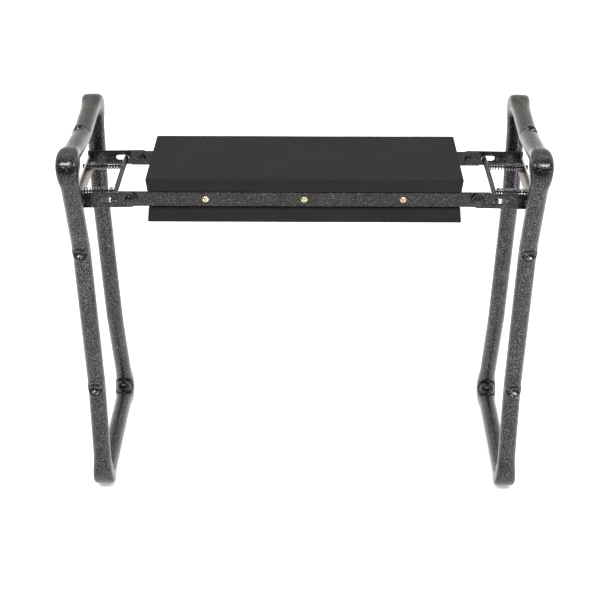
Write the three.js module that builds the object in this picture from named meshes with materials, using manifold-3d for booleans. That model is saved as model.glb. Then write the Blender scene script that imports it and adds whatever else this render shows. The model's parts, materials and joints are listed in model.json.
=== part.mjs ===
// Folding garden kneeler seat: a double-sided foam pad on two rails between two bent-tube end frames.
// Millimetres, +Z up, +X to the right end, -Y to the front. The origin is on the floor under the
// seat's middle.
import * as THREE from 'three';
import { mergeVertices } from 'three/addons/utils/BufferGeometryUtils.js';
import Module from 'manifold-3d';

// ---- Driving dimensions ----

const TUBE_R = 12; // end frame tube, 24 mm across
const CORNER_SWELL = 0.3; // the tight corners bulge by this share of the tube's radius
const SWELL_REACH = 22; // how far along the tube the bulge fades
const FOOT_BEND_R = 25;
const TOP_BEND_R = 18;
const KINK_BEND_R = 60;
const LEAN = 0.02; // each end frame leans out at the top by this angle, in radians

// The loop's centreline bends: distance from the middle, height above the pivot, bend radius.
const BOTTOM_CORNER = { y: 118.7, z: -413.6, bend: FOOT_BEND_R };
const LOWER_KINK = { y: 89.6, z: -268.2, bend: KINK_BEND_R };
const UPPER_KINK = { y: 83.1, z: -61, bend: KINK_BEND_R };
const TOP_CORNER = { y: 111.4, z: 71, bend: TOP_BEND_R };
const TOP_DIP = { y: 0, z: 59.9, bend: 150 };

const PIVOT_X = 222; // rivet axis, from the middle of the seat
const LOOP_OFFSET = 66.5; // loop plane, outboard of the rivet axis

const BAR_H = 20; // rails and bracket plates are 20 x 3 mm flat bar
const BAR_T = 3;
const GAP = 0.3; // clearance between pieces that touch
const RAIL_OUT_Y = 66; // outer face of a rail
const RAIL_END_R = 17.6; // rail ends are rounded about the rivet, clear of the lock bar
const PLATE_OUT_Y = RAIL_OUT_Y + GAP + BAR_T;
const PLATE_END_X = 74.5; // outboard end of a bracket plate, from the rivet axis

const PAD_LENGTH = 402;
const PAD_DEPTH = 141;
const PAD_THICK = 61.6;
const FOAM_T = 19.3;
const PAD_CORNER_R = 5;
const PAD_EDGE_R = 1.2;
const CORE_LENGTH = 394;

const SCREW_PITCH = 126;
const SCREW_SHANK_R = 2;
const SCREW_HEAD_R = 5;
const SCREW_HEAD_H = 2.8;
const SCREW_DEPTH = 16;

const RIVET_SHANK_R = 2.8;
const RIVET_HEAD_R = 6.5;
const RIVET_HEAD_H = 3.2;
const RIVET_TAIL_R = 4.8;
const RIVET_TAIL_H = 1.8;

const LOCK_X = 22; // lock bar axis at rest, from the rivet axis
const LOCK_R = 3.3;
const LOCK_TRAVEL = 10.5;
const SLOT_R = LOCK_R + 0.4;
const LOCK_END_Y = PLATE_OUT_Y + 1;

const ROD_Y = 39.5; // guide rods, from the middle
const ROD_R = 1.5;
const ROD_HEAD_R = 3.4;
const ROD_HEAD_H = 3;

const ANCHOR_T = 2.2; // angle bar that the springs push on
const ANCHOR_OUT_X = 74.3; // outer face of its upright flange, from the rivet axis
const ANCHOR_SHELF_W = 9.5;
const ANCHOR_LOW_Z = -7.6;
const ANCHOR_TOP_Z = 3;

const SPRING_R = 4.2; // to the middle of the wire
const SPRING_WIRE_R = 0.9;
const SPRING_TURNS = 12;

const STANDOFF_IN_X = 60; // the block between plate and leg, from the rivet axis
const STANDOFF_OUT_X = 73;
const STANDOFF_END_Y = 86.5;
const STANDOFF_H = 8;

const PIVOT_Z = 427.4; // rivet axis above the floor, which the end frames' feet just touch

// ---- Materials ----

const FINISH = {
  hammertone: { color: 0x4b4844, roughness: 0.38, metalness: 0.35 },
  bracketPaint: { color: 0x3a3a3d, roughness: 0.4, metalness: 0.35 },
  foam: { color: 0x3b3b3c, roughness: 0.92, metalness: 0 },
  board: { color: 0x2c2c2c, roughness: 0.8, metalness: 0 },
  brass: { color: 0xa08a52, roughness: 0.35, metalness: 1 },
  springSteel: { color: 0x55585c, roughness: 0.3, metalness: 0.9 },
  blackSteel: { color: 0x222326, roughness: 0.35, metalness: 0.7 },
};

function piece(name, geometry, finish) {
  const mesh = new THREE.Mesh(geometry, new THREE.MeshStandardMaterial(finish));
  mesh.name = name;
  return mesh;
}

// ---- Joining and cutting ----

const wasm = await Module();
wasm.setup();

function toSolid(geometry) {
  const bare = geometry.index ? geometry.toNonIndexed() : geometry.clone();
  bare.deleteAttribute('normal');
  bare.deleteAttribute('uv');
  const merged = mergeVertices(bare, 1e-4);
  return new wasm.Manifold(new wasm.Mesh({
    numProp: 3,
    vertProperties: new Float32Array(merged.attributes.position.array),
    triVerts: new Uint32Array(merged.index.array),
  }));
}

function toGeometry(solid) {
  const mesh = solid.getMesh();
  const geometry = new THREE.BufferGeometry();
  geometry.setAttribute('position', new THREE.BufferAttribute(mesh.vertProperties, 3));
  geometry.setIndex(new THREE.BufferAttribute(mesh.triVerts, 1));
  geometry.computeVertexNormals();
  return geometry;
}

function cut(geometry, ...tools) {
  const result = tools.reduce((solid, tool) => solid.subtract(toSolid(tool)), toSolid(geometry));
  return toGeometry(result);
}

// ---- Shared shapes ----

// A round bar along Y (axis 'y') or X (axis 'x') between two stations.
function roundBar(axis, from, to, radius, sides) {
  const bar = new THREE.CylinderGeometry(radius, radius, to - from, sides);
  if (axis === 'x') bar.rotateZ(-Math.PI / 2);
  bar.translate(axis === 'x' ? (from + to) / 2 : 0, axis === 'y' ? (from + to) / 2 : 0, 0);
  return bar;
}

// An outline in the X-Z plane becomes a flat bar with its faces at y = nearY and farY.
function flatBar(shape, nearY, farY) {
  const bar = new THREE.ExtrudeGeometry(shape, {
    depth: farY - nearY, bevelEnabled: false, curveSegments: 6,
  });
  bar.rotateX(Math.PI / 2);
  bar.translate(0, farY, 0);
  return bar;
}

function roundHole(x, radius) {
  return new THREE.Path().absarc(x, 0, radius, 0, Math.PI * 2, true);
}

// Turns a profile in (radius, height) about Y. Height grows towards the front, -Y, when side is -1.
function turned(profile, side, sides) {
  const points = profile.map(([radius, height]) => new THREE.Vector2(radius, height));
  const geometry = new THREE.LatheGeometry(points, sides);
  if (side < 0) geometry.rotateX(Math.PI);
  return geometry;
}

// A quarter-round dome of the given radius and height, from its rim at base to its top on the axis.
function dome(radius, height, base, steps) {
  return Array.from({ length: steps + 1 }, (_, i) => {
    const angle = (Math.PI / 2) * (i / steps);
    const onAxis = i === steps;
    return [onAxis ? 0 : radius * Math.cos(angle), base + height * Math.sin(angle)];
  });
}

// ---- End frame loop ----

// The closed centreline, rounded at every bend, as stations { point, tangent } in the Y-Z plane.
function loopCentreline() {
  const side = [BOTTOM_CORNER, LOWER_KINK, UPPER_KINK, TOP_CORNER];
  const mirrored = side.map((bend) => ({ ...bend, y: -bend.y })).reverse();
  const bends = [...side, TOP_DIP, ...mirrored];
  const stations = [];
  bends.forEach((bend, i) => {
    const here = new THREE.Vector2(bend.y, bend.z);
    const before = bends.at(i - 1);
    const after = bends[(i + 1) % bends.length];
    const arriving = here.clone().sub(new THREE.Vector2(before.y, before.z)).normalize();
    const leaving = new THREE.Vector2(after.y, after.z).sub(here).normalize();
    const turn = Math.atan2(arriving.cross(leaving), arriving.dot(leaving));
    const setback = bend.bend * Math.tan(Math.abs(turn) / 2);
    const start = here.clone().addScaledVector(arriving, -setback);
    const inward = new THREE.Vector2(-arriving.y, arriving.x).multiplyScalar(Math.sign(turn));
    const centre = start.clone().addScaledVector(inward, bend.bend);
    const isCorner = bend.bend < KINK_BEND_R;
    const runUps = isCorner ? [36, 20, 8] : [];
    runUps.forEach((run) => stations.push({
      point: start.clone().addScaledVector(arriving, -run), tangent: arriving.clone(),
    }));
    const steps = isCorner ? 5 : 2;
    for (let k = 0; k <= steps; k += 1) {
      const swing = turn * (k / steps);
      stations.push({
        point: start.clone().rotateAround(centre, swing),
        tangent: arriving.clone().rotateAround(new THREE.Vector2(), swing),
      });
    }
    const end = start.clone().rotateAround(centre, turn);
    runUps.slice().reverse().forEach((run) => stations.push({
      point: end.clone().addScaledVector(leaving, run), tangent: leaving.clone(),
    }));
  });
  return stations;
}

// The tube's radius at a point: swollen near the four tight corners.
function tubeRadius(point) {
  return [BOTTOM_CORNER, TOP_CORNER].reduce((radius, corner) => {
    const distance = Math.hypot(Math.abs(point.x) - corner.y, point.y - corner.z);
    return radius * (1 + CORNER_SWELL * Math.exp(-((distance / SWELL_REACH) ** 2)));
  }, TUBE_R);
}

// A closed tube around the centreline. extra widens it, to cut a clearance from a neighbour.
function loopTube(sides, extra = 0) {
  const stations = loopCentreline();
  const positions = [];
  stations.forEach(({ point, tangent }) => {
    const radius = tubeRadius(point) + extra;
    for (let k = 0; k < sides; k += 1) {
      const angle = (2 * Math.PI * k) / sides;
      const outward = radius * Math.cos(angle);
      positions.push(
        radius * Math.sin(angle),
        point.x + tangent.y * outward,
        point.y - tangent.x * outward,
      );
    }
  });
  const index = [];
  stations.forEach((_, i) => {
    const next = (i + 1) % stations.length;
    for (let k = 0; k < sides; k += 1) {
      const side = (k + 1) % sides;
      const [a, b] = [i * sides + k, next * sides + k];
      const [c, d] = [i * sides + side, next * sides + side];
      index.push(a, b, c, b, d, c);
    }
  });
  const geometry = new THREE.BufferGeometry();
  geometry.setAttribute('position', new THREE.Float32BufferAttribute(positions, 3));
  geometry.setIndex(index);
  geometry.computeVertexNormals();
  return geometry;
}

// ---- End frame fittings, in a frame whose origin is on the rivet axis ----

function bracketPlate(side) {
  const half = BAR_H / 2;
  const shape = new THREE.Shape();
  shape.moveTo(PLATE_END_X, half);
  shape.lineTo(0, half);
  shape.absarc(0, 0, half, Math.PI / 2, -Math.PI / 2, false);
  shape.lineTo(PLATE_END_X, -half);
  shape.closePath();
  const slot = new THREE.Path();
  slot.absarc(LOCK_X + LOCK_TRAVEL, 0, SLOT_R, -Math.PI / 2, Math.PI / 2, false);
  slot.absarc(LOCK_X, 0, SLOT_R, Math.PI / 2, -Math.PI / 2, false);
  slot.closePath();
  shape.holes.push(roundHole(0, RIVET_SHANK_R + GAP), slot);
  const faces = [side * (PLATE_OUT_Y - BAR_T), side * PLATE_OUT_Y].sort((a, b) => a - b);
  return flatBar(shape, ...faces);
}

function standoffBlock(side) {
  const depth = STANDOFF_END_Y - PLATE_OUT_Y - GAP;
  const block = new THREE.BoxGeometry(STANDOFF_OUT_X - STANDOFF_IN_X, depth, STANDOFF_H);
  const middleX = (STANDOFF_IN_X + STANDOFF_OUT_X) / 2;
  block.translate(middleX, side * (PLATE_OUT_Y + GAP + depth / 2), 0);
  const leg = loopTube(16, GAP);
  leg.translate(LOOP_OFFSET, 0, 0);
  return cut(block, leg);
}

function springAnchor() {
  const inner = ANCHOR_OUT_X - ANCHOR_T;
  const shape = new THREE.Shape();
  shape.moveTo(ANCHOR_OUT_X, ANCHOR_LOW_Z);
  shape.lineTo(ANCHOR_OUT_X, ANCHOR_TOP_Z);
  shape.lineTo(inner, ANCHOR_TOP_Z);
  shape.lineTo(inner, ANCHOR_LOW_Z + ANCHOR_T);
  shape.lineTo(ANCHOR_OUT_X - ANCHOR_SHELF_W, ANCHOR_LOW_Z + ANCHOR_T);
  shape.lineTo(ANCHOR_OUT_X - ANCHOR_SHELF_W, ANCHOR_LOW_Z);
  shape.closePath();
  const reach = RAIL_OUT_Y;
  const holes = [-ROD_Y, ROD_Y].map((y) => {
    const hole = roundBar('x', inner - 1, ANCHOR_OUT_X + 1, ROD_R + GAP, 12);
    hole.translate(0, y, 0);
    return hole;
  });
  return cut(flatBar(shape, -reach, reach), ...holes);
}

function lockBar() {
  const bar = roundBar('y', -LOCK_END_Y, LOCK_END_Y, LOCK_R, 16);
  bar.translate(LOCK_X, 0, 0);
  const sockets = [-ROD_Y, ROD_Y].map((y) => {
    const socket = roundBar('x', LOCK_X - ROD_R, LOCK_X + LOCK_R + 1, ROD_R + GAP, 12);
    socket.translate(0, y, 0);
    return socket;
  });
  return cut(bar, ...sockets);
}

function guideRod(y) {
  const headX = ANCHOR_OUT_X + GAP;
  const profile = [
    [0, LOCK_X - ROD_R + GAP],
    [ROD_R, LOCK_X - ROD_R + GAP],
    [ROD_R, headX],
    [ROD_HEAD_R, headX],
    [ROD_HEAD_R, headX + ROD_HEAD_H],
    [0, headX + ROD_HEAD_H],
  ];
  const rod = turned(profile, 1, 12);
  rod.rotateZ(-Math.PI / 2);
  rod.translate(0, y, 0);
  return rod;
}

class Helix extends THREE.Curve {
  constructor(radius, from, to, turns) {
    super();
    Object.assign(this, { radius, from, to, turns });
  }

  getPoint(t, target = new THREE.Vector3()) {
    const angle = 2 * Math.PI * this.turns * t;
    return target.set(
      this.from + (this.to - this.from) * t,
      this.radius * Math.cos(angle),
      this.radius * Math.sin(angle),
    );
  }
}

function compressionSpring(y) {
  const from = LOCK_X + LOCK_R + SPRING_WIRE_R + GAP;
  const to = ANCHOR_OUT_X - ANCHOR_T - SPRING_WIRE_R - GAP;
  const wire = new THREE.Shape().absarc(0, 0, SPRING_WIRE_R, 0, Math.PI * 2, false);
  const spring = new THREE.ExtrudeGeometry(wire, {
    steps: SPRING_TURNS * 7, extrudePath: new Helix(SPRING_R, from, to, SPRING_TURNS), curveSegments: 3,
  });
  spring.translate(0, y, 0);
  return spring;
}

// Builds the right end. The left end is the same, turned half way round the vertical axis.
function endFrame(end) {
  const frame = new THREE.Group();
  const turnedRound = end === 'left';
  const place = (side) => (side < 0) !== turnedRound ? 'front' : 'rear';
  const loop = loopTube(12);
  loop.translate(LOOP_OFFSET, 0, 0);
  frame.add(piece(`${end}_frame_loop`, loop, FINISH.hammertone));
  frame.add(piece(`${end}_spring_anchor`, springAnchor(), FINISH.hammertone));
  frame.add(piece(`${end}_lock_bar`, lockBar(), FINISH.hammertone));
  [-1, 1].forEach((side) => {
    const prefix = `${end}_${place(side)}`;
    frame.add(piece(`${prefix}_bracket_plate`, bracketPlate(side), FINISH.bracketPaint));
    frame.add(piece(`${prefix}_standoff`, standoffBlock(side), FINISH.hammertone));
    frame.add(piece(`${prefix}_guide_rod`, guideRod(side * ROD_Y), FINISH.blackSteel));
    frame.add(piece(`${prefix}_spring`, compressionSpring(side * ROD_Y), FINISH.springSteel));
  });
  frame.rotation.y = LEAN;
  frame.position.set(PIVOT_X, 0, PIVOT_Z);
  const holder = new THREE.Group();
  holder.add(frame);
  holder.rotation.z = turnedRound ? Math.PI : 0;
  return holder;
}

// ---- Seat, in a frame whose origin is at the middle of the pad ----

function rail(side) {
  const half = BAR_H / 2;
  const arc = Math.asin(half / RAIL_END_R);
  const shape = new THREE.Shape();
  shape.absarc(PIVOT_X, 0, RAIL_END_R, -arc, arc, false);
  shape.absarc(-PIVOT_X, 0, RAIL_END_R, Math.PI - arc, Math.PI + arc, false);
  shape.closePath();
  [-PIVOT_X, PIVOT_X].forEach((x) => shape.holes.push(roundHole(x, RIVET_SHANK_R + GAP)));
  screwStations().forEach((x) => shape.holes.push(roundHole(x, SCREW_SHANK_R + GAP)));
  const faces = [side * (RAIL_OUT_Y - BAR_T), side * RAIL_OUT_Y].sort((a, b) => a - b);
  return flatBar(shape, ...faces);
}

function screwStations() {
  return [-SCREW_PITCH, 0, SCREW_PITCH];
}

function coreBoard() {
  const width = 2 * (RAIL_OUT_Y - BAR_T - GAP);
  const board = new THREE.BoxGeometry(CORE_LENGTH, width, PAD_THICK - 2 * FOAM_T - 2 * GAP);
  const bores = [-1, 1].flatMap((side) => screwStations().map((x) => {
    const tip = side * (RAIL_OUT_Y - SCREW_DEPTH - GAP);
    const mouth = side * (width / 2 + 1);
    const bore = roundBar('y', Math.min(tip, mouth), Math.max(tip, mouth), SCREW_SHANK_R + GAP, 12);
    bore.translate(x, 0, 0);
    return bore;
  }));
  return cut(board, ...bores);
}

// A flat pad with rounded corners and edges, lying between two heights.
function foamPad(lowZ) {
  const [halfX, halfY] = [PAD_LENGTH / 2 - PAD_EDGE_R, PAD_DEPTH / 2 - PAD_EDGE_R];
  const r = PAD_CORNER_R;
  const shape = new THREE.Shape();
  shape.absarc(halfX - r, -halfY + r, r, -Math.PI / 2, 0, false);
  shape.absarc(halfX - r, halfY - r, r, 0, Math.PI / 2, false);
  shape.absarc(-halfX + r, halfY - r, r, Math.PI / 2, Math.PI, false);
  shape.absarc(-halfX + r, -halfY + r, r, Math.PI, Math.PI * 1.5, false);
  shape.closePath();
  const pad = new THREE.ExtrudeGeometry(shape, {
    depth: FOAM_T - 2 * PAD_EDGE_R,
    bevelThickness: PAD_EDGE_R,
    bevelSize: PAD_EDGE_R,
    bevelSegments: 2,
    curveSegments: 4,
  });
  pad.translate(0, 0, lowZ + PAD_EDGE_R);
  return pad;
}

function screw(x, side) {
  const seatY = RAIL_OUT_Y + GAP;
  const profile = [
    [0, RAIL_OUT_Y - SCREW_DEPTH],
    [SCREW_SHANK_R, RAIL_OUT_Y - SCREW_DEPTH + SCREW_SHANK_R],
    [SCREW_SHANK_R, seatY],
    ...dome(SCREW_HEAD_R, SCREW_HEAD_H, seatY, 3),
  ];
  const geometry = turned(profile, side, 12);
  geometry.translate(x, 0, 0);
  return geometry;
}

function rivet(x, side) {
  const tailY = RAIL_OUT_Y - BAR_T - GAP;
  const headY = PLATE_OUT_Y + GAP;
  const profile = [
    [0, tailY - RIVET_TAIL_H],
    [RIVET_TAIL_R, tailY - RIVET_TAIL_H],
    [RIVET_TAIL_R, tailY],
    [RIVET_SHANK_R, tailY],
    [RIVET_SHANK_R, headY],
    ...dome(RIVET_HEAD_R, RIVET_HEAD_H, headY, 3),
  ];
  const geometry = turned(profile, side, 12);
  geometry.translate(x, 0, 0);
  return geometry;
}

function seat() {
  const group = new THREE.Group();
  group.add(piece('core_board', coreBoard(), FINISH.board));
  group.add(piece('upper_foam', foamPad(PAD_THICK / 2 - FOAM_T), FINISH.foam));
  group.add(piece('lower_foam', foamPad(-PAD_THICK / 2), FINISH.foam));
  [[-1, 'front'], [1, 'rear']].forEach(([side, place]) => {
    group.add(piece(`${place}_rail`, rail(side), FINISH.bracketPaint));
    screwStations().forEach((x, i) => {
      const name = `${place}_screw_${['left', 'middle', 'right'][i]}`;
      group.add(piece(name, screw(x, side), FINISH.brass));
    });
    [[-1, 'left'], [1, 'right']].forEach(([end, endName]) => {
      group.add(piece(`${endName}_${place}_rivet`, rivet(end * PIVOT_X, side), FINISH.bracketPaint));
    });
  });
  group.position.z = PIVOT_Z;
  return group;
}

const kneeler = new THREE.Group();
kneeler.add(seat(), endFrame('left'), endFrame('right'));

export default kneeler;
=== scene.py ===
import json
import math

import bpy
from mathutils import Matrix, Vector, noise


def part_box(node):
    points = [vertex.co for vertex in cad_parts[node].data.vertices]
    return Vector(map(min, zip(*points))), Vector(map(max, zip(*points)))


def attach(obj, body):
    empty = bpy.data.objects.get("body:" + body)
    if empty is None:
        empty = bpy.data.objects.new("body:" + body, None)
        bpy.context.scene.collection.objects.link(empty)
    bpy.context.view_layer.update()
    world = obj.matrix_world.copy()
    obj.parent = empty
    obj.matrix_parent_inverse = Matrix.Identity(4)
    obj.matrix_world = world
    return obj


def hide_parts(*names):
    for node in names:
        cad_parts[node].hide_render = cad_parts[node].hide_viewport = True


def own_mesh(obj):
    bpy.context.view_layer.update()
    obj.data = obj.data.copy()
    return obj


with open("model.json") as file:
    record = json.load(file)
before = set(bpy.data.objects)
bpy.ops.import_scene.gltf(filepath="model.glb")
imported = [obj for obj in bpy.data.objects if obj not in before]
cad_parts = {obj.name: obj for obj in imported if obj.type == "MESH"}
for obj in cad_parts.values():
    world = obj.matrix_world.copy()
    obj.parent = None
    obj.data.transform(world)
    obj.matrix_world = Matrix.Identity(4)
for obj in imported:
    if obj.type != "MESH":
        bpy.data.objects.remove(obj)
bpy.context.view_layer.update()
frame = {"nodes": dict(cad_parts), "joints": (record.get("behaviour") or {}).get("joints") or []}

# ---- Sizes, in metres ----

JOINTS = {joint["name"]: joint for joint in frame["joints"]}
PIVOT_X = JOINTS["right_fold"]["pos_m"][0]
PIVOT_Z = JOINTS["right_fold"]["pos_m"][2]
LEAN = math.asin(-JOINTS["right_release"]["axis"][2])  # the end frames lean out at the top
LOCK_TRAVEL = JOINTS["right_release"]["range_m"][1]

TUBE_R = 0.012
LOOP_OFFSET = 0.0665  # loop plane, outboard of the rivet axis
FOOT_BEND_R = 0.025
TOP_BEND_R = 0.018
KINK_BEND_R = 0.060
DIP_BEND_R = 0.150
CORNER_SWELL = 0.3
SWELL_REACH = 0.022

# The loop's bends: distance from the middle, height above the pivot, bend radius.
BOTTOM_CORNER = (0.1187, -0.4136, FOOT_BEND_R)
LOWER_KINK = (0.0896, -0.2682, KINK_BEND_R)
UPPER_KINK = (0.0831, -0.0610, KINK_BEND_R)
TOP_CORNER = (0.1114, 0.0710, TOP_BEND_R)
TOP_DIP = (0.0, 0.0599, DIP_BEND_R)

BAR_H = 0.020
BAR_T = 0.003
RAIL_OUT_Y = 0.066
PLATE_OUT_Y = 0.0693
PLATE_END_X = 0.0745
RAIL_END_R = 0.0176
LOCK_X = 0.0220
LOCK_R = 0.0033
ANCHOR_OUT_X = 0.0743
ANCHOR_T = 0.0022
ROD_Y = 0.0395
STANDOFF_IN_X = 0.060
STANDOFF_H = 0.008
SPRING_R = 0.0042
SPRING_WIRE_R = 0.0009
SPRING_TURNS = 13
RIVET_HOLE_R = 0.0031
SCREW_HOLE_R = 0.0023
SLOT_CLEARANCE = 0.0004
FACE_GAP = 0.0003  # between pieces that touch
TIP_R = 0.0001  # turned pieces close to this radius at their ends

RIB_PITCH = 0.0036
RIB_HEIGHT = 0.0006


# ---- Small helpers ----

def new_object(name, verts, faces, smooth=True):
    mesh = bpy.data.meshes.new(name)
    mesh.from_pydata([tuple(v) for v in verts], [], faces)
    mesh.validate()
    mesh.update()
    for polygon in mesh.polygons:
        polygon.use_smooth = smooth
    obj = bpy.data.objects.new(name, mesh)
    bpy.context.scene.collection.objects.link(obj)
    return obj


def finish_piece(obj, body, material, replaced=()):
    obj.data.materials.clear()
    obj.data.materials.append(material)
    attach(obj, body)
    if replaced:
        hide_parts(*replaced)
    return obj


def end_to_row(end, point):
    """A point of an end frame, given from its rivet axis as if it were the right end, in the row frame."""
    x, y, z = point
    out = PIVOT_X + x * math.cos(LEAN) + z * math.sin(LEAN)
    up = PIVOT_Z - x * math.sin(LEAN) + z * math.cos(LEAN)
    return Vector((out, y, up)) if end == "right" else Vector((-out, -y, up))


def place_of(end, side):
    """front or rear, for the side (-1 or 1) of an end frame as it was drawn for the right end."""
    return "front" if (side < 0) == (end == "right") else "rear"


def ring_faces(rings, sides, closed):
    """Quads that join rings of equal size, all the way round if closed, with flat ends if not."""
    faces = []
    for i in range(rings if closed else rings - 1):
        j = (i + 1) % rings
        for k in range(sides):
            m = (k + 1) % sides
            faces.append((i * sides + k, j * sides + k, j * sides + m, i * sides + m))
    if not closed:
        faces.append(tuple(range(sides)))
        faces.append(tuple(reversed(range((rings - 1) * sides, rings * sides))))
    return faces


def bell(distance, reach):
    """1 at no distance, falling smoothly to nothing well past the reach."""
    return math.exp(-((distance / reach) ** 2))


def wire_along(name, points, radius, sides, radius_at=None):
    """A round wire along a list of points, with flat ends."""
    points = [Vector(p) for p in points]
    verts = []
    normal = None
    for i, point in enumerate(points):
        ahead = points[min(i + 1, len(points) - 1)]
        behind = points[max(i - 1, 0)]
        tangent = (ahead - behind).normalized()
        if normal is None:
            normal = tangent.orthogonal().normalized()
        normal = (normal - tangent * normal.dot(tangent)).normalized()
        across = tangent.cross(normal)
        r = radius if radius_at is None else radius_at(i / (len(points) - 1))
        for k in range(sides):
            angle = 2 * math.pi * k / sides
            verts.append(point + normal * (r * math.cos(angle)) + across * (r * math.sin(angle)))
    return new_object(name, verts, ring_faces(len(points), sides, closed=False))


def turned(name, profile, sides, place):
    """A turned piece: profile is (distance along the axis, radius), place maps (along, u, v) to the row."""
    verts = []
    for along, radius in profile:
        for k in range(sides):
            angle = 2 * math.pi * k / sides
            verts.append(place(along, radius * math.cos(angle), radius * math.sin(angle)))
    return new_object(name, verts, ring_faces(len(profile), sides, closed=False))


# ---- Materials ----

POOL_AND_DARK_REFLECTION = "pool_and_dark_reflection"  # how thick the paint has pooled, which also sets a painted dark reflection, stored at each point of a frame loop
MIX_INPUTS = (0, 6, 7)  # factor, first colour and second colour of a mix node set to colours
MIX_OUTPUT = 2


def fill_ramp(node, stops):
    """Sets a colour ramp node's stops, given as (position, colour)."""
    elements = node.color_ramp.elements
    while len(elements) < len(stops):
        elements.new(0.5)
    for element, (position, colour) in zip(elements, stops):
        element.position = position
        element.color = (*colour, 1.0)


class Nodes:
    """Short names for building one material's nodes. Texture scales are features per metre."""

    def __init__(self, name):
        self.material = bpy.data.materials.new(name)
        self.material.use_nodes = True
        self.tree = self.material.node_tree
        self.shader = self.tree.nodes["Principled BSDF"]
        self.coords = self.add("ShaderNodeTexCoord").outputs["Object"]

    def add(self, kind, **settings):
        node = self.tree.nodes.new(kind)
        for key, value in settings.items():
            setattr(node, key, value)
        return node

    def link(self, source, target):
        self.tree.links.new(source, target)

    def noise(self, scale, detail=3.0, roughness=0.5):
        node = self.add("ShaderNodeTexNoise")
        node.inputs["Scale"].default_value = scale
        node.inputs["Detail"].default_value = detail
        node.inputs["Roughness"].default_value = roughness
        self.link(self.coords, node.inputs["Vector"])
        return node.outputs["Fac"]

    def cells(self, scale, feature="F1"):
        node = self.add("ShaderNodeTexVoronoi", feature=feature)
        node.inputs["Scale"].default_value = scale
        self.link(self.coords, node.inputs["Vector"])
        return node.outputs["Distance"]

    def ramp(self, source, stops):
        node = self.add("ShaderNodeValToRGB")
        fill_ramp(node, stops)
        self.link(source, node.inputs["Fac"])
        return node.outputs["Color"]

    def level(self, source, low, high, to_low=0.0, to_high=1.0):
        node = self.add("ShaderNodeMapRange")
        limits = {"From Min": low, "From Max": high, "To Min": to_low, "To Max": to_high}
        for socket, value in limits.items():
            node.inputs[socket].default_value = value
        self.link(source, node.inputs["Value"])
        return node.outputs["Result"]

    def mix(self, amount, first, second, blend="MIX"):
        """Mixes two colours. Each input is a value or another node's output."""
        node = self.add("ShaderNodeMix", data_type="RGBA", blend_type=blend)
        for index, value in zip(MIX_INPUTS, (amount, first, second)):
            if hasattr(value, "node"):
                self.link(value, node.inputs[index])
            else:
                node.inputs[index].default_value = value if index == MIX_INPUTS[0] else (*value, 1.0)
        return node.outputs[MIX_OUTPUT]

    def math(self, operation, first, second):
        node = self.add("ShaderNodeMath", operation=operation)
        for socket, value in zip(node.inputs, (first, second)):
            if hasattr(value, "node"):
                self.link(value, socket)
            else:
                socket.default_value = value
        return node.outputs["Value"]

    def bump(self, height, distance, strength=1.0):
        node = self.add("ShaderNodeBump")
        node.inputs["Distance"].default_value = distance
        node.inputs["Strength"].default_value = strength
        self.link(height, node.inputs["Height"])
        self.link(node.outputs["Normal"], self.shader.inputs["Normal"])

    def set(self, **values):
        for key, value in values.items():
            self.shader.inputs[key.replace("_", " ")].default_value = value


# The tints that the flecks take, as factors on their colour.
WARM = (1.06, 1.01, 0.92)
COOL = (0.96, 0.97, 1.08)
PINK = (1.08, 0.99, 0.98)
# Painted dark reflection: how far the colour is darkened where the paint pooled.
PAINTED_REFLECTION_DARKENING = 0.80
POOL_SMOOTHING = 0.08


def hammertone(name, dark, light, fleck_share):
    """Hammered enamel: light metal flecks over small dimples, glossier where the paint pooled and darkened
    there as a painted dark reflection.

    A higher fleck share gives more flecks and so a lighter paint.
    """
    n = Nodes(name)
    pool_and_dark_reflection = n.add("ShaderNodeAttribute", attribute_name=POOL_AND_DARK_REFLECTION).outputs["Fac"]
    dimples = n.cells(480, feature="SMOOTH_F1")
    fleck_cells = n.cells(720, feature="SMOOTH_F1")
    grain = n.noise(900, detail=3, roughness=0.6)
    speck = n.noise(1400, detail=2, roughness=0.7)
    blotch = n.noise(46, detail=3)
    hue = n.noise(240, detail=2)
    mottle = n.math("ADD", n.math("MULTIPLY", grain, 0.60), n.math("MULTIPLY", fleck_cells, 0.40))
    mottle = n.math("ADD", n.math("MULTIPLY", speck, 0.25), mottle)
    start = 0.60 - 0.16 * fleck_share
    middle = tuple((d + l) / 3 for d, l in zip(dark, light))
    flecks = n.ramp(mottle, [(start - 0.06, dark), (start, middle), (start + 0.09, light)])
    tint = n.ramp(hue, [(0.34, PINK), (0.44, WARM), (0.52, (1.0, 1.0, 1.0)), (0.62, COOL)])
    patch = n.ramp(blotch, [(0.38, (0.84, 0.82, 0.80)), (0.62, (1.10, 1.10, 1.14))])
    colour = n.mix(1.0, flecks, tint, blend="MULTIPLY")
    colour = n.mix(1.0, colour, patch, blend="MULTIPLY")
    # Painted dark reflection: the colour goes towards the dark fleck colour on the pooled bulges and
    # corners.
    n.link(n.mix(n.math("MULTIPLY", pool_and_dark_reflection, PAINTED_REFLECTION_DARKENING), colour, dark), n.shader.inputs["Base Color"])
    rough = n.level(speck, 0.35, 0.7, 0.20, 0.36)
    rough = n.math("SUBTRACT", rough, n.math("MULTIPLY", pool_and_dark_reflection, POOL_SMOOTHING))
    n.link(rough, n.shader.inputs["Roughness"])
    n.set(Metallic=0.80, IOR=1.5, Coat_Weight=0.32, Coat_Roughness=0.06)
    height = n.math("ADD", n.math("MULTIPLY", dimples, 0.9), n.math("MULTIPLY", grain, 0.8))
    n.bump(height, 0.0006, 0.6)
    return n.material


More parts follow.
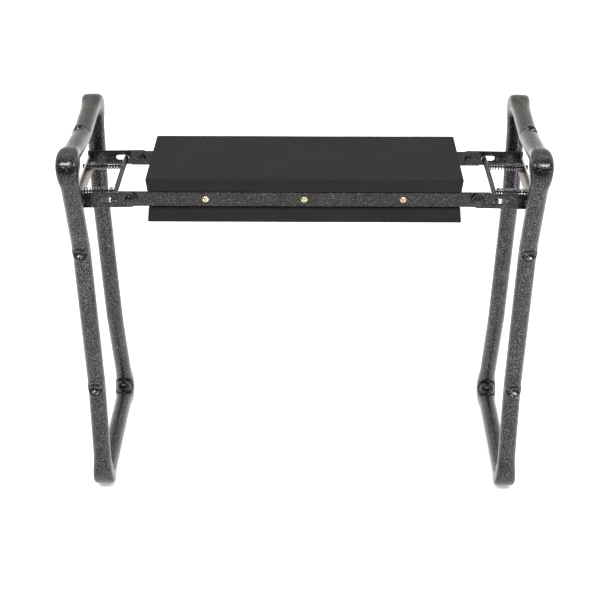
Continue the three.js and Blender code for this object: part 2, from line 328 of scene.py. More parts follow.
def foam_material():
    """Matt closed-cell foam. Its ribs are in the mesh, so only pores and mottling are here."""
    n = Nodes("ribbed_foam")
    pores = n.cells(1500)
    fine = n.noise(900, detail=4, roughness=0.7)
    broad = n.noise(18, detail=3)
    colour = n.ramp(fine, [(0.30, (0.0112, 0.0112, 0.0110)), (0.70, (0.0190, 0.0190, 0.0186))])
    shade = n.ramp(broad, [(0.35, (0.88, 0.88, 0.88)), (0.65, (1.08, 1.08, 1.09))])
    n.link(n.mix(1.0, colour, shade, blend="MULTIPLY"), n.shader.inputs["Base Color"])
    n.link(n.level(fine, 0.3, 0.7, 0.78, 0.92), n.shader.inputs["Roughness"])
    n.set(Specular_IOR_Level=0.14)
    n.bump(n.math("ADD", pores, n.math("MULTIPLY", fine, 1.5)), 0.00022, 0.5)
    return n.material


METAL_WEAR_SCALE = 700


def metal_material(name, dark, light, roughness, metallic=1.0):
    """Bare or blackened metal, with fine wear and broader smears in its colour and gloss."""
    n = Nodes(name)
    wear = n.noise(METAL_WEAR_SCALE, detail=4, roughness=0.6)
    smear = n.noise(METAL_WEAR_SCALE / 9, detail=2)
    worn = n.math("ADD", n.math("MULTIPLY", wear, 0.6), n.math("MULTIPLY", smear, 0.4))
    n.link(n.ramp(worn, [(0.35, dark), (0.65, light)]), n.shader.inputs["Base Color"])
    n.link(n.level(wear, 0.3, 0.7, roughness * 0.7, roughness * 1.4), n.shader.inputs["Roughness"])
    n.set(Metallic=metallic)
    n.bump(wear, 0.00006, 0.4)
    return n.material


SHEEN_FROM_TO = (0.55, 0.85)  # upward part of a face's direction: where the painted sheen starts, and where it is full


def shelf_material():
    """The same paint with a painted pale sheen on the faces that face up, which are also duller."""
    n = Nodes("paint_with_painted_sheen")
    split = n.add("ShaderNodeSeparateXYZ")
    n.link(n.add("ShaderNodeTexCoord").outputs["Normal"], split.inputs["Vector"])
    painted_sheen = n.level(split.outputs["Z"], *SHEEN_FROM_TO)
    grain = n.noise(600, detail=3)
    dark = n.ramp(grain, [(0.35, (0.004, 0.004, 0.004)), (0.65, (0.040, 0.038, 0.035))])
    pale = n.ramp(grain, [(0.35, (0.40, 0.37, 0.33)), (0.65, (0.58, 0.54, 0.48))])
    # Painted sheen: faces that face up are made pale, as if lit from above.
    n.link(n.mix(painted_sheen, dark, pale), n.shader.inputs["Base Color"])
    n.link(n.level(painted_sheen, 0.0, 1.0, 0.30, 0.52), n.shader.inputs["Roughness"])
    n.set(Metallic=0.5)
    n.bump(grain, 0.0002, 0.4)
    return n.material


def board_material():
    """Black moulded board, matt, with a slight grain."""
    n = Nodes("core_board")
    grain = n.noise(320, detail=4)
    n.link(n.ramp(grain, [(0.3, (0.010, 0.010, 0.010)), (0.7, (0.022, 0.022, 0.021))]),
           n.shader.inputs["Base Color"])
    n.link(n.level(grain, 0.3, 0.7, 0.6, 0.8), n.shader.inputs["Roughness"])
    n.bump(grain, 0.0002, 0.4)
    return n.material


FRAME_PAINT = hammertone("frame_hammertone", (0.003, 0.003, 0.003), (0.122, 0.115, 0.104), -0.16)
BRACKET_PAINT = hammertone("bracket_hammertone", (0.002, 0.002, 0.002), (0.088, 0.081, 0.073), -0.34)
SHELF_PAINT = shelf_material()
FOAM = foam_material()
BOARD = board_material()
BRASS = metal_material("brass_screw", (0.45, 0.33, 0.17), (0.85, 0.74, 0.52), 0.22)
SPRING_STEEL = metal_material("spring_wire", (0.035, 0.035, 0.038), (0.16, 0.16, 0.17), 0.14)
BLACK_STEEL = metal_material("black_rod", (0.03, 0.03, 0.033), (0.09, 0.09, 0.095), 0.30, metallic=0.8)


# ---- End frame loops ----

SIDE_BENDS = [BOTTOM_CORNER, LOWER_KINK, UPPER_KINK, TOP_CORNER]
LOOP_BENDS = [*SIDE_BENDS, TOP_DIP, *((-y, z, r) for y, z, r in reversed(SIDE_BENDS))]

SAMPLE_STEP = 0.0012
PLAIN_STEPS = 5  # stations this many steps apart are enough where the tube is straight
BEND_ZONE = 0.034
LOOP_SIDES = 64
# How much squarer than a circle the outer half of the tube is, by the radius of the bend.
SQUARENESS = {FOOT_BEND_R: 5.0, TOP_BEND_R: 2.5}
SQUARE_REACH = 0.018

# Dimples pressed into the outer side of a bend: depth, half length, half width as an angle,
# and how far round towards the outboard side the dimple sits.
KINK_DIMPLE = (0.0050, 0.0100, math.radians(52), math.radians(6))
DIP_DIMPLE = (0.0070, 0.0085, math.radians(46), math.radians(22))
DIP_CREASE = 0.0022
DIP_CREASE_REACH = 0.0050
RIM_RISE = 0.0009
RIM_PLACE = 1.12  # as a share of the dimple's half sizes
RIM_REACH = 0.22

KNOB_POOL_AND_DARK_REFLECTION = 0.42  # how thick the paint has pooled on the outer side of the top corners, which also darkens them as a painted dark reflection
KNOB_POOL_AND_DARK_REFLECTION_REACH = 0.019

# The bulge that the bending leaves on the inner side of a foot: half sizes inward, along the
# tube and sideways, then how far inward of the tube's middle its own middle is.
FOOT_BALL = (0.0128, 0.0132, 0.0118, 0.0074)
BALL_GROOVE = 0.0048
BALL_GROOVE_REACH = 0.15  # as a share of the bulge's half sizes


def straight_stations(start, stop, run, direction):
    """Stations between two bends, as (point, tangent, distance along the centreline)."""
    length = (stop - start).length
    count = round(length / SAMPLE_STEP)
    return [(start.lerp(stop, k / count), direction, run + length * k / count) for k in range(1, count)]


def loop_stations():
    """The closed centreline as (point, tangent, gaps).

    A gap is the distance along the centreline from the middle of a bend, in the order of LOOP_BENDS.
    """
    corners = [Vector((y, z)) for y, z, _ in LOOP_BENDS]
    path, middles, run = [], [], 0.0
    for i, here in enumerate(corners):
        before, after = corners[i - 1], corners[(i + 1) % len(corners)]
        arriving, leaving = (here - before).normalized(), (after - here).normalized()
        turn = math.atan2(arriving.x * leaving.y - arriving.y * leaving.x, arriving.dot(leaving))
        radius = LOOP_BENDS[i][2]
        start = here - arriving * radius * math.tan(abs(turn) / 2)
        if path:
            bend_end = path[-1][0]
            path += straight_stations(bend_end, start, run, arriving)
            run += (start - bend_end).length
        inward = Vector((-arriving.y, arriving.x)) * math.copysign(1, turn)
        centre = start + inward * radius
        arc = radius * abs(turn)
        steps = max(4, round(arc / SAMPLE_STEP))
        middles.append(run + arc / 2)
        for k in range(steps + 1):
            swing = Matrix.Rotation(turn * k / steps, 2)
            path.append((centre + swing @ (start - centre), swing @ arriving, run + arc * k / steps))
        run += arc
    bend_end, loop_start = path[-1][0], path[0][0]
    path += straight_stations(bend_end, loop_start, run, (loop_start - bend_end).normalized())
    total = run + (loop_start - bend_end).length
    stations = []
    for i, (point, tangent, along) in enumerate(path):
        gaps = [(along - middle + total / 2) % total - total / 2 for middle in middles]
        if i % PLAIN_STEPS == 0 or min(abs(gap) for gap in gaps) < BEND_ZONE:
            stations.append((point, tangent, gaps))
    return stations


def dimple(gap, angle, shape):
    """How deep a dimple is at a place on the tube. Its rim stands a little proud."""
    depth, half_length, half_angle, turned_out = shape
    reach = math.hypot(gap / half_length, (angle - turned_out) / half_angle)
    bowl = depth * (1 - reach ** 2) ** 1.5 if reach < 1 else 0.0
    return bowl - RIM_RISE * bell(reach - RIM_PLACE, RIM_REACH)


def press_ball(from_ball, out_of_loop, foot_out, outward, sideways):
    """Moves a point of the tube's surface out onto a foot's bulge, or down into the groove round it.

    Returns the point as (outward, sideways) and how close it is to the bulge, from 0 to 1.
    from_ball goes from the bulge's middle to the centreline point that outward and sideways start from.
    """
    deep, long, wide, _ = FOOT_BALL
    chord = Vector((-foot_out.y, foot_out.x))
    start = Vector((from_ball.dot(foot_out) / deep, from_ball.dot(chord) / long, 0))
    step = Vector((out_of_loop.dot(foot_out) * outward / deep, out_of_loop.dot(chord) * outward / long,
                   sideways / wide))
    beyond = (start + step).length - 1
    if beyond > 0:
        near = bell(beyond, BALL_GROOVE_REACH)
        scale = 1 - BALL_GROOVE * near / math.hypot(outward, sideways)
    else:
        near = 1.0
        half = start.dot(step)
        root = half ** 2 - step.length_squared * (start.length_squared - 1)
        scale = (math.sqrt(root) - half) / step.length_squared
    return outward * scale, sideways * scale, near


def tube_radius(point):
    """The tube's radius at a centreline point. It swells at the tight corners."""
    swell = 0.0
    for y, z, _ in (BOTTOM_CORNER, TOP_CORNER):
        swell += bell(math.hypot(abs(point.x) - y, point.y - z), SWELL_REACH)
    return TUBE_R * (1 + CORNER_SWELL * swell)


def loop_section(point, gaps, angle):
    """(outward, sideways) of the tube's surface round a station. Angle 0 faces out of the loop."""
    out, across = math.cos(angle), math.sin(angle)
    radius = tube_radius(point)
    stretch = 1.0
    if out > 0:
        power = 2 + sum(SQUARENESS.get(bend[2], 0.0) * bell(gap, SQUARE_REACH)
                        for gap, bend in zip(gaps, LOOP_BENDS))
        stretch = (abs(out) ** power + abs(across) ** power) ** (-1 / power)
    outward = radius * stretch * out
    sideways = radius * stretch * across
    wrapped = (angle + math.pi) % (2 * math.pi) - math.pi
    for gap, bend in zip(gaps, LOOP_BENDS):
        if bend[2] == KINK_BEND_R and abs(gap) < BEND_ZONE:
            press = dimple(gap, wrapped, KINK_DIMPLE)
        elif bend[2] == DIP_BEND_R and abs(gap) < BEND_ZONE:
            press = dimple(gap, wrapped, DIP_DIMPLE)
            press += DIP_CREASE * math.exp(-abs(gap) / DIP_CREASE_REACH) * max(0.0, out) ** 1.5
        else:
            continue
        outward -= press * out
        sideways -= press * across
    return outward, sideways


def make_loop(end, stations):
    """An end frame's tube. Its paint is pooled on the feet's bulges and on the top corners, which also
    carry a painted dark reflection there.
    """
    feet = []
    for index in (0, -1):
        point, tangent, _ = min(stations, key=lambda station: abs(station[2][index]))
        feet.append((index, point, Vector((tangent.y, -tangent.x))))
    verts, pools_and_dark_reflection = [], []
    for point, tangent, gaps in stations:
        out_of_loop = Vector((tangent.y, -tangent.x))
        top_gap = min(abs(gap) for gap, bend in zip(gaps, LOOP_BENDS) if bend[2] == TOP_BEND_R)
        for k in range(LOOP_SIDES):
            angle = 2 * math.pi * k / LOOP_SIDES
            outward, sideways = loop_section(point, gaps, angle)
            # Pooled paint with a painted dark reflection: on the top corners' outer side and on the feet's
            # bulges.
            pool_and_dark_reflection = KNOB_POOL_AND_DARK_REFLECTION * bell(top_gap, KNOB_POOL_AND_DARK_REFLECTION_REACH) * max(0.0, math.cos(angle)) ** 0.5
            for index, foot_middle, foot_out in feet:
                if abs(gaps[index]) > BEND_ZONE or math.cos(angle) > 0:
                    continue
                from_ball = point - (foot_middle - foot_out * FOOT_BALL[3])
                outward, sideways, near = press_ball(from_ball, out_of_loop, foot_out, outward, sideways)
                pool_and_dark_reflection = max(pool_and_dark_reflection, near)
            pools_and_dark_reflection.append(pool_and_dark_reflection)
            place = point + out_of_loop * outward
            verts.append(end_to_row(end, (LOOP_OFFSET + sideways, place.x, place.y)))
    faces = ring_faces(len(stations), LOOP_SIDES, closed=True)
    loop = new_object(f"{end}_loop_tube", verts, [tuple(reversed(f)) for f in faces])
    loop.data.attributes.new(POOL_AND_DARK_REFLECTION, "FLOAT", "POINT").data.foreach_set("value", pools_and_dark_reflection)
    return finish_piece(loop, f"{end}_frame", FRAME_PAINT, [f"{end}_frame_loop"])


# ---- Flat bars ----

EDGE_ROUND = 0.0005


def flat_piece(name, outline, holes, low_y, high_y, to_row):
    """A flat bar cut from an outline in the X-Z plane, with holes and softened edges."""
    curve = bpy.data.curves.new(name, "CURVE")
    curve.dimensions = "2D"
    curve.fill_mode = "BOTH"
    curve.extrude = (high_y - low_y) / 2 - EDGE_ROUND
    curve.bevel_depth = EDGE_ROUND
    curve.bevel_resolution = 2
    curve.offset = -EDGE_ROUND
    for points in [outline, *holes]:
        spline = curve.splines.new("POLY")
        spline.points.add(len(points) - 1)
        for target, (x, z) in zip(spline.points, points):
            target.co = (x, z, 0, 1)
        spline.use_cyclic_u = True
    holder = bpy.data.objects.new(name, curve)
    bpy.context.scene.collection.objects.link(holder)
    bpy.context.view_layer.update()
    mesh = bpy.data.meshes.new_from_object(holder.evaluated_get(bpy.context.evaluated_depsgraph_get()))
    bpy.data.objects.remove(holder)
    middle = (low_y + high_y) / 2
    for vertex in mesh.vertices:
        x, z, depth = vertex.co
        vertex.co = to_row((x, middle - depth, z))
    obj = bpy.data.objects.new(name, mesh)
    bpy.context.scene.collection.objects.link(obj)
    weld = obj.modifiers.new("weld", "WELD")
    weld.merge_threshold = 0.00001
    for polygon in mesh.polygons:
        polygon.use_smooth = False
    return obj


def arc_points(x, z, radius, start, end, steps):
    return [(x + radius * math.cos(start + (end - start) * k / steps),
             z + radius * math.sin(start + (end - start) * k / steps)) for k in range(steps + 1)]


def circle_points(x, radius, steps=24):
    return arc_points(x, 0.0, radius, 0, 2 * math.pi * (steps - 1) / steps, steps - 1)


def make_plate(end, side):
    half = BAR_H / 2
    round_end = arc_points(0, 0, half, math.pi / 2, math.pi * 1.5, 24)
    outline = [(PLATE_END_X, -half), (PLATE_END_X, half), *round_end]
    slot_r = LOCK_R + SLOT_CLEARANCE
    slot = (arc_points(LOCK_X + LOCK_TRAVEL, 0, slot_r, -math.pi / 2, math.pi / 2, 14)
            + arc_points(LOCK_X, 0, slot_r, math.pi / 2, math.pi * 1.5, 14))
    name = f"{end}_{place_of(end, side)}"
    faces = sorted((side * (PLATE_OUT_Y - BAR_T), side * PLATE_OUT_Y))
    plate = flat_piece(f"{name}_plate", outline, [slot, circle_points(0, RIVET_HOLE_R)], *faces,
                       to_row=lambda p: end_to_row(end, p))
    return finish_piece(plate, f"{end}_frame", BRACKET_PAINT, [f"{name}_bracket_plate"])


def screw_stations():
    """Where the screws stand along the rails, from the front ones. The rear ones are opposite."""
    stations = {}
    for place in ("left", "middle", "right"):
        low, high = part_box(f"front_screw_{place}")
        stations[place] = (low.x + high.x) / 2
    return stations


def make_rail(side, place):
    arc = math.asin(BAR_H / 2 / RAIL_END_R)
    outline = (arc_points(PIVOT_X, 0, RAIL_END_R, -arc, arc, 16)
               + arc_points(-PIVOT_X, 0, RAIL_END_R, math.pi - arc, math.pi + arc, 16))
    holes = [circle_points(x, RIVET_HOLE_R) for x in (-PIVOT_X, PIVOT_X)]
    holes += [circle_points(x, SCREW_HOLE_R) for x in screw_stations().values()]
    faces = sorted((side * (RAIL_OUT_Y - BAR_T), side * RAIL_OUT_Y))
    rail = flat_piece(f"{place}_flat_rail", outline, holes, *faces,
                      to_row=lambda p: Vector((p[0], p[1], PIVOT_Z + p[2])))
    return finish_piece(rail, "seat", BRACKET_PAINT, [f"{place}_rail"])


# ---- Fasteners ----

SCREW_HEAD_R = 0.0050
SCREW_HEAD_H = 0.0028
CROSS_HALF_WIDTH = 0.00062
CROSS_REACH = 0.0030
CROSS_DEPTH = 0.0015
CROSS_EDGE = 0.00010  # how softly the recess's walls turn over
CROSS_TURN = 0.6  # angle of the cross from upright
SCREW_DOME_POWER = 2.4
SCREW_SIDES = 72
SCREW_RINGS = 26


def cross_recess(u, v):
    """Depth of the cross recess at a place on a screw's head."""
    distance = math.hypot(u, v)
    arm = min(abs(u), abs(v))
    if distance >= CROSS_REACH:
        return 0.0
    edge = 1 / (1 + math.exp((arm - CROSS_HALF_WIDTH) / CROSS_EDGE))
    return CROSS_DEPTH * edge * (1 - distance / CROSS_REACH) ** 0.6


def make_screw(x, side, name):
    """A screw's round head, from its rim to its middle, on the outer face of a rail."""
    seat_y = RAIL_OUT_Y + FACE_GAP
    verts = []
    for i in range(SCREW_RINGS):
        share = i / SCREW_RINGS
        radius = SCREW_HEAD_R * (1 - share)
        rise = SCREW_HEAD_H * (1 - (1 - share) ** SCREW_DOME_POWER)
        for k in range(SCREW_SIDES):
            angle = 2 * math.pi * k / SCREW_SIDES
            u, v = radius * math.cos(angle), radius * math.sin(angle)
            turned_u = u * math.cos(CROSS_TURN) - v * math.sin(CROSS_TURN)
            turned_v = u * math.sin(CROSS_TURN) + v * math.cos(CROSS_TURN)
            out = seat_y + rise - cross_recess(turned_u, turned_v)
            verts.append((x + u, side * out, PIVOT_Z + v * -side))
    faces = [tuple(reversed(f)) for f in ring_faces(SCREW_RINGS, SCREW_SIDES, closed=False)]
    head = new_object(f"{name}_head", verts, faces)
    return finish_piece(head, "seat", BRASS, [name])


def make_rivet(x, side, name):
    """A rivet through a rail and a bracket plate: a flat tail inside and a domed head outside."""
    tail_y = RAIL_OUT_Y - BAR_T - FACE_GAP
    head_y = PLATE_OUT_Y + FACE_GAP
    tail_r, tail_h, tail_chamfer = 0.0048, 0.0018, 0.0005
    shank_r, head_r, head_h = 0.0028, 0.0068, 0.0033
    profile = [(tail_y - tail_h, TIP_R), (tail_y - tail_h, tail_r * 0.8),
               (tail_y - tail_h + tail_chamfer, tail_r), (tail_y, tail_r), (tail_y, shank_r),
               (head_y, shank_r), (head_y, head_r)]
    dome_steps = 12
    for k in range(1, dome_steps + 1):
        angle = math.pi / 2 * k / dome_steps
        profile.append((head_y + head_h * math.sin(angle) ** 0.9, max(head_r * math.cos(angle), TIP_R)))
    rivet = turned(f"{name}_dome", profile, 40,
                   lambda along, u, v: Vector((x + u, side * along, PIVOT_Z + v * -side)))
    return finish_piece(rivet, "seat", BRACKET_PAINT, [name])


# ---- Lock bars, guide rods and springs ----

def make_lock_bar(end):
    reach, chamfer = PLATE_OUT_Y + 0.001, 0.0006
    steps = 24
    shank = [(-reach + chamfer + (2 * reach - 2 * chamfer) * k / steps, LOCK_R) for k in range(1, steps)]
    profile = [(-reach, TIP_R), (-reach, LOCK_R - chamfer), (-reach + chamfer, LOCK_R), *shank,
               (reach - chamfer, LOCK_R), (reach, LOCK_R - chamfer), (reach, TIP_R)]
    bar = turned(f"{end}_release_bar", profile, 32,
                 lambda along, u, v: end_to_row(end, (LOCK_X + v, along, u)))
    return finish_piece(bar, f"{end}_lock", FRAME_PAINT, [f"{end}_lock_bar"])


def make_rod(end, side):
    rod_r, head_r, head_h, soft = 0.0012, 0.0034, 0.0030, 0.0005
    start_x = LOCK_X - rod_r
    head_x = ANCHOR_OUT_X + FACE_GAP
    end_x = head_x + head_h
    profile = [(start_x, TIP_R), (start_x, rod_r), (head_x, rod_r), (head_x, head_r - soft),
               (head_x + soft, head_r), (end_x - soft, head_r), (end_x, head_r - soft), (end_x, TIP_R)]
    name = f"{end}_{place_of(end, side)}"
    rod = turned(f"{name}_rod", profile, 28,
                 lambda along, u, v: end_to_row(end, (along, side * ROD_Y + u, v)))
    return finish_piece(rod, f"{end}_lock", BLACK_STEEL, [f"{name}_guide_rod"])


STEPS_PER_TURN = 22
CLOSED_TURNS = 1.0  # turns that touch at each end of a spring


def make_spring(end, side):
    """A spring with closed end turns."""
    start = LOCK_X + LOCK_R + SPRING_WIRE_R + FACE_GAP
    stop = ANCHOR_OUT_X - ANCHOR_T - SPRING_WIRE_R - FACE_GAP
    steps = SPRING_TURNS * STEPS_PER_TURN
    closed_lead = 2 * SPRING_WIRE_R
    points = []
    for k in range(steps + 1):
        turn = SPRING_TURNS * k / steps
        middle = (turn - CLOSED_TURNS) / (SPRING_TURNS - 2 * CLOSED_TURNS)
        open_share = min(max(middle, 0.0), 1.0)
        end_share = min(turn, CLOSED_TURNS) + max(turn - SPRING_TURNS + CLOSED_TURNS, 0.0)
        x = start + closed_lead * end_share
        x += (stop - start - 2 * closed_lead * CLOSED_TURNS) * open_share
        angle = 2 * math.pi * turn
        y = side * ROD_Y + SPRING_R * math.cos(angle)
        points.append(end_to_row(end, (x, y, SPRING_R * math.sin(angle))))
    name = f"{end}_{place_of(end, side)}"
    spring = wire_along(f"{name}_coil", points, SPRING_WIRE_R, 10)
    finish_piece(spring, f"{end}_frame", SPRING_STEEL, [f"{name}_spring"])
    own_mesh(spring)
    return spring


# ---- Anchors, stand-offs and welds ----

def soften(node, width, segments=3):
    """Rounds the edges of a CAD node, whose own mesh stays as it is."""
    bevel = frame["nodes"][node].modifiers.new("soft_edges", "BEVEL")
    bevel.width = width
    bevel.segments = segments
    bevel.limit_method = "ANGLE"
    bevel.angle_limit = math.radians(40)


def paint_node(node, material):
    obj = frame["nodes"][node]
    obj.data.materials.clear()
    obj.data.materials.append(material)


WELD_R = 0.0017
# How far the welds' middles lie from the faces that they join, along X and along Y.
BLOCK_WELD_OFF = (0.0003, 0.0004)
ANCHOR_WELD_OFF = (0.0004, 0.0002)
ANCHOR_WELD_LOW = -0.0048
ANCHOR_WELD_HIGH = 0.0028


def make_weld(end, name, start, stop):
    """A lumpy weld bead along a short straight seam."""
    ripples = 7
    steps = ripples * 6

    def radius_at(share):
        ends = math.sqrt(max(0.02, 1 - (2 * share - 1) ** 8))
        return WELD_R * ends * (1 + 0.14 * math.sin(2 * math.pi * ripples * share))

    points = [end_to_row(end, Vector(start).lerp(Vector(stop), k / steps)) for k in range(steps + 1)]
    bead = wire_along(name, points, WELD_R, 14, radius_at)
    return finish_piece(bead, f"{end}_frame", FRAME_PAINT)


def make_fittings(end):
    """Finishes an end's CAD anchor and stand-offs, and adds the welds that hold them."""
    paint_node(f"{end}_spring_anchor", SHELF_PAINT)
    soften(f"{end}_spring_anchor", 0.0005)
    anchor_x = ANCHOR_OUT_X - ANCHOR_T - ANCHOR_WELD_OFF[0]
    for side in (-1, 1):
        name = f"{end}_{place_of(end, side)}"
        paint_node(f"{name}_standoff", FRAME_PAINT)
        soften(f"{name}_standoff", 0.0008)
        block_x, block_y = STANDOFF_IN_X - BLOCK_WELD_OFF[0], side * (PLATE_OUT_Y + BLOCK_WELD_OFF[1])
        seat_y = side * (RAIL_OUT_Y - ANCHOR_WELD_OFF[1])
        seams = {
            "block_weld": ((block_x, block_y, -STANDOFF_H / 2), (block_x, block_y, STANDOFF_H / 2)),
            "anchor_weld": ((anchor_x, seat_y, ANCHOR_WELD_LOW), (anchor_x, seat_y, ANCHOR_WELD_HIGH)),
        }
        for seam, (start, stop) in seams.items():
            make_weld(end, f"{name}_{seam}", start, stop)


# ---- Foam pads ----

PAD_TOP_ROUND = 0.0013
PAD_LOW_ROUND = 0.0025
PAD_CROWN = 0.0006
PAD_WAVE = 0.0003
SIDE_INSET = 0.0006
END_INSET = 0.0016
END_INSET_REACH = 0.004
RIB_FADE = 0.006  # the ribs fade out over this length at a pad's ends
RIB_STEPS = 6
WAVE_SCALE = (16, 22, 40)
UPPER_WAVE = 7  # shifts the wave, so that the two pads differ
LOWER_WAVE = 3
PAD_FLAT_STEPS = 22
PAD_SIDE_STEPS = 5
LOW_ROUND_STEPS = 5
TOP_ROUND_STEPS = 8
END_ROUND_STEPS = 6


def pad_ring(half_y, thick):
    """One closed section of a pad in (y, height), with rounded edges, as (y, z, how much it faces up)."""
    points = []
    low_half = half_y - PAD_LOW_ROUND - SIDE_INSET
    for k in range(PAD_FLAT_STEPS + 1):
        share = -1 + 2 * k / PAD_FLAT_STEPS
        points.append((share * low_half, 0.0, 0.0))
    for k in range(1, LOW_ROUND_STEPS):
        angle = -math.pi / 2 + math.pi / 2 * k / LOW_ROUND_STEPS
        points.append((low_half + PAD_LOW_ROUND * math.cos(angle),
                       PAD_LOW_ROUND + PAD_LOW_ROUND * math.sin(angle), 0.0))
    for k in range(PAD_SIDE_STEPS + 1):
        share = k / PAD_SIDE_STEPS
        height = PAD_LOW_ROUND + (thick - PAD_LOW_ROUND - PAD_TOP_ROUND) * share
        points.append((half_y - SIDE_INSET * (1 - share), height, 0.0))
    for k in range(1, TOP_ROUND_STEPS):
        angle = math.pi / 2 * k / TOP_ROUND_STEPS
        points.append((half_y - PAD_TOP_ROUND + PAD_TOP_ROUND * math.cos(angle),
                       thick - PAD_TOP_ROUND + PAD_TOP_ROUND * math.sin(angle), math.sin(angle) ** 2))
    for k in range(PAD_FLAT_STEPS + 1):
        share = 1 - 2 * k / PAD_FLAT_STEPS
        points.append((share * (half_y - PAD_TOP_ROUND), thick, 1.0))
    one_side = points[PAD_FLAT_STEPS + 1:-(PAD_FLAT_STEPS + 1)]
    points += [(-y, z, up) for y, z, up in reversed(one_side)]
    return points


def end_rounding(distance):
    """How far a ring shrinks at this distance from the pad's end."""
    if distance >= PAD_TOP_ROUND:
        return 0.0
    return PAD_TOP_ROUND - math.sqrt(max(0.0, PAD_TOP_ROUND ** 2 - (PAD_TOP_ROUND - distance) ** 2))


def make_pad(node, face_up):
    """A ribbed foam pad in its CAD solid's place, crowned and slightly uneven, narrowing to its back."""
    low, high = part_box(node)
    half_x, half_y, thick = (high.x - low.x) / 2, (high.y - low.y) / 2, high.z - low.z
    ring = pad_ring(half_y, thick)
    end_steps = [PAD_TOP_ROUND * (1 - math.cos(math.pi / 2 * k / END_ROUND_STEPS))
                 for k in range(END_ROUND_STEPS + 1)]
    rib_step = RIB_PITCH / RIB_STEPS
    count = int((2 * half_x - 2 * PAD_TOP_ROUND) / rib_step)
    stations = [-half_x + d for d in end_steps]
    stations += [-half_x + PAD_TOP_ROUND + rib_step * k for k in range(1, count)]
    stations += [half_x - d for d in reversed(end_steps)]
    wave_shift = UPPER_WAVE if face_up else LOWER_WAVE
    verts = []
    for x in stations:
        edge = half_x - abs(x)
        shrink = end_rounding(edge)
        rib = RIB_HEIGHT * (0.5 + 0.5 * math.cos(2 * math.pi * x / RIB_PITCH)) * min(1.0, edge / RIB_FADE)
        for y, z, up in ring:
            spot = Vector((x * WAVE_SCALE[0], y * WAVE_SCALE[1], z * WAVE_SCALE[2] + wave_shift))
            wave = PAD_WAVE * noise.noise(spot)
            crown = PAD_CROWN * up * (1 - (y / half_y) ** 2) * (1 - (x / half_x) ** 4)
            inset = END_INSET * (1 - z / thick) * bell(edge, END_INSET_REACH)
            y_here = math.copysign(max(0.0, abs(y) - shrink), y) + wave * (1 - up)
            z_here = thick / 2 + math.copysign(max(0.0, abs(z - thick / 2) - shrink), z - thick / 2)
            z_here += crown - (RIB_HEIGHT - rib) * up - PAD_CROWN * up + wave * up
            x_here = x - math.copysign(inset, x)
            verts.append((x_here, y_here, low.z + z_here if face_up else high.z - z_here))
    faces = ring_faces(len(stations), len(ring), closed=False)
    if not face_up:
        faces = [tuple(reversed(f)) for f in faces]
    pad = new_object(f"{node}_pad", verts, faces)
    finish_piece(pad, "seat", FOAM, [node])
    return pad


# ---- Building the object ----

def build_seat():
    paint_node("core_board", BOARD)
    soften("core_board", 0.0008)
    make_pad("upper_foam", face_up=True)
    make_pad("lower_foam", face_up=False)
    for side, place in ((-1, "front"), (1, "rear")):
        make_rail(side, place)
        for name, x in screw_stations().items():
            make_screw(x, side, f"{place}_screw_{name}")
        for end, x in (("left", -PIVOT_X), ("right", PIVOT_X)):
            make_rivet(x, side, f"{end}_{place}_rivet")


def build_end(end, stations):
    make_loop(end, stations)
    make_lock_bar(end)
    make_fittings(end)
    for side in (-1, 1):
        make_plate(end, side)
        make_rod(end, side)
        make_spring(end, side)


build_seat()
loop = loop_stations()
for frame_end in ("left", "right"):
    build_end(frame_end, loop)


# ---- Floor, light and camera ----

FLOOR_HALF = 30.0
FLOOR_GLOW = 0.34  # lifts the floor to plain white
STUDIO_STRENGTH = 2.8
# Brightness of the studio walls from the front (0) through straight overhead (0.5) to the back (1).
STUDIO_STOPS = [(0.0, (0.02, 0.02, 0.04)), (0.36, (0.05, 0.05, 0.07)), (0.50, (0.62, 0.62, 0.63)),
                (0.62, (1.0, 1.0, 0.99)), (0.80, (0.44, 0.44, 0.43)), (1.0, (0.32, 0.32, 0.31))]


def make_floor():
    corners = [(x * FLOOR_HALF, y * FLOOR_HALF, 0) for x, y in ((-1, -1), (1, -1), (1, 1), (-1, 1))]
    floor = new_object("studio_floor", corners, [(0, 1, 2, 3)], smooth=False)
    n = Nodes("studio_floor")
    cloudy = n.noise(2.0, detail=2)
    pale = n.ramp(cloudy, [(0.3, (0.96, 0.96, 0.96)), (0.7, (0.97, 0.97, 0.97))])
    n.link(pale, n.shader.inputs["Base Color"])
    n.set(Roughness=0.9, Emission_Color=(1.0, 1.0, 1.0, 1.0), Emission_Strength=FLOOR_GLOW)
    floor.data.materials.append(n.material)


def make_world():
    """A studio that is bright overhead, dim in front and plain white where the camera sees it."""
    world = bpy.data.worlds.new("studio")
    bpy.context.scene.world = world
    world.use_nodes = True
    tree = world.node_tree
    background = tree.nodes["Background"]
    coords = tree.nodes.new("ShaderNodeTexCoord")
    split = tree.nodes.new("ShaderNodeSeparateXYZ")
    shift = tree.nodes.new("ShaderNodeMapRange")
    ramp = tree.nodes.new("ShaderNodeValToRGB")
    path = tree.nodes.new("ShaderNodeLightPath")
    shift.inputs["From Min"].default_value = -1.0
    shift.inputs["From Max"].default_value = 1.0
    fill_ramp(ramp, STUDIO_STOPS)
    mix = tree.nodes.new("ShaderNodeMix")
    mix.data_type = "RGBA"
    mix.inputs[MIX_INPUTS[2]].default_value = (1 / STUDIO_STRENGTH,) * 3 + (1.0,)
    tree.links.new(coords.outputs["Generated"], split.inputs["Vector"])
    tree.links.new(split.outputs["Y"], shift.inputs["Value"])
    tree.links.new(shift.outputs["Result"], ramp.inputs["Fac"])
    tree.links.new(path.outputs["Is Camera Ray"], mix.inputs[MIX_INPUTS[0]])
    tree.links.new(ramp.outputs["Color"], mix.inputs[MIX_INPUTS[1]])
    tree.links.new(mix.outputs[MIX_OUTPUT], background.inputs["Color"])
    background.inputs["Strength"].default_value = STUDIO_STRENGTH


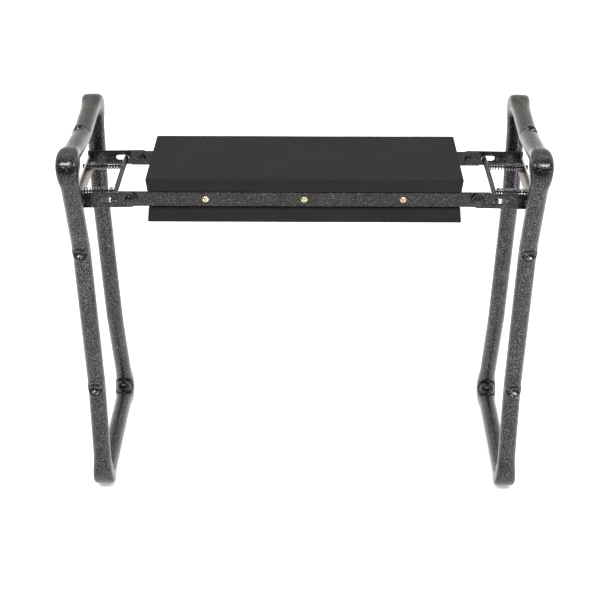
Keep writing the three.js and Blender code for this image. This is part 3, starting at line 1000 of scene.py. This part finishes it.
def softbox(name, place, target, size, power, colour=(1.0, 1.0, 1.0)):
    """A rectangular area light that faces a target. Its power is in watts."""
    light = bpy.data.lights.new(name, "AREA")
    light.shape = "RECTANGLE"
    light.size, light.size_y = size
    light.energy = power
    light.color = colour
    lamp = bpy.data.objects.new(name, light)
    lamp.location = place
    lamp.rotation_mode = "QUATERNION"
    lamp.rotation_quaternion = (Vector(target) - Vector(place)).to_track_quat("-Z", "Y")
    bpy.context.scene.collection.objects.link(lamp)


CAMERA_PLACE = Vector((0.0118, -1.5296, 1.1257))
CAMERA_PITCH = 0.5241
CAMERA_YAW = -0.0120
CAMERA_ROLL = -0.0019
CAMERA_FIELD = 0.472776  # width of the view at distance 1
SENSOR_WIDTH = 36.0


def make_camera():
    """A camera in front of the seat and above it, looking down along +Y."""
    yaw, pitch, roll = CAMERA_YAW, CAMERA_PITCH, CAMERA_ROLL
    forward = Vector((math.sin(yaw) * math.cos(pitch), math.cos(yaw) * math.cos(pitch), -math.sin(pitch)))
    right = Vector((math.cos(yaw), -math.sin(yaw), 0))
    up = right.cross(forward)
    right, up = (right * math.cos(roll) + up * math.sin(roll), up * math.cos(roll) - right * math.sin(roll))
    data = bpy.data.cameras.new("camera")
    data.sensor_width = SENSOR_WIDTH
    data.lens = SENSOR_WIDTH / CAMERA_FIELD
    data.clip_start, data.clip_end = 0.05, 60
    camera = bpy.data.objects.new("camera", data)
    turn = Matrix((right, up, -forward)).transposed()
    camera.matrix_world = Matrix.Translation(CAMERA_PLACE) @ turn.to_4x4()
    bpy.context.scene.collection.objects.link(camera)
    bpy.context.scene.camera = camera


make_floor()
make_world()
for light_name, light_x in (("key_left", -0.9), ("key_right", 0.9)):
    softbox(light_name, (light_x, -1.5, 2.3), (0, 0, 0.35), (0.45, 0.45), 28)
softbox("side_strip", (1.9, -1.6, 0.5), (0, 0, 0.30), (0.25, 1.6), 22, (0.62, 0.60, 1.0))
make_camera()
bpy.context.scene.view_settings.view_transform = "Standard"
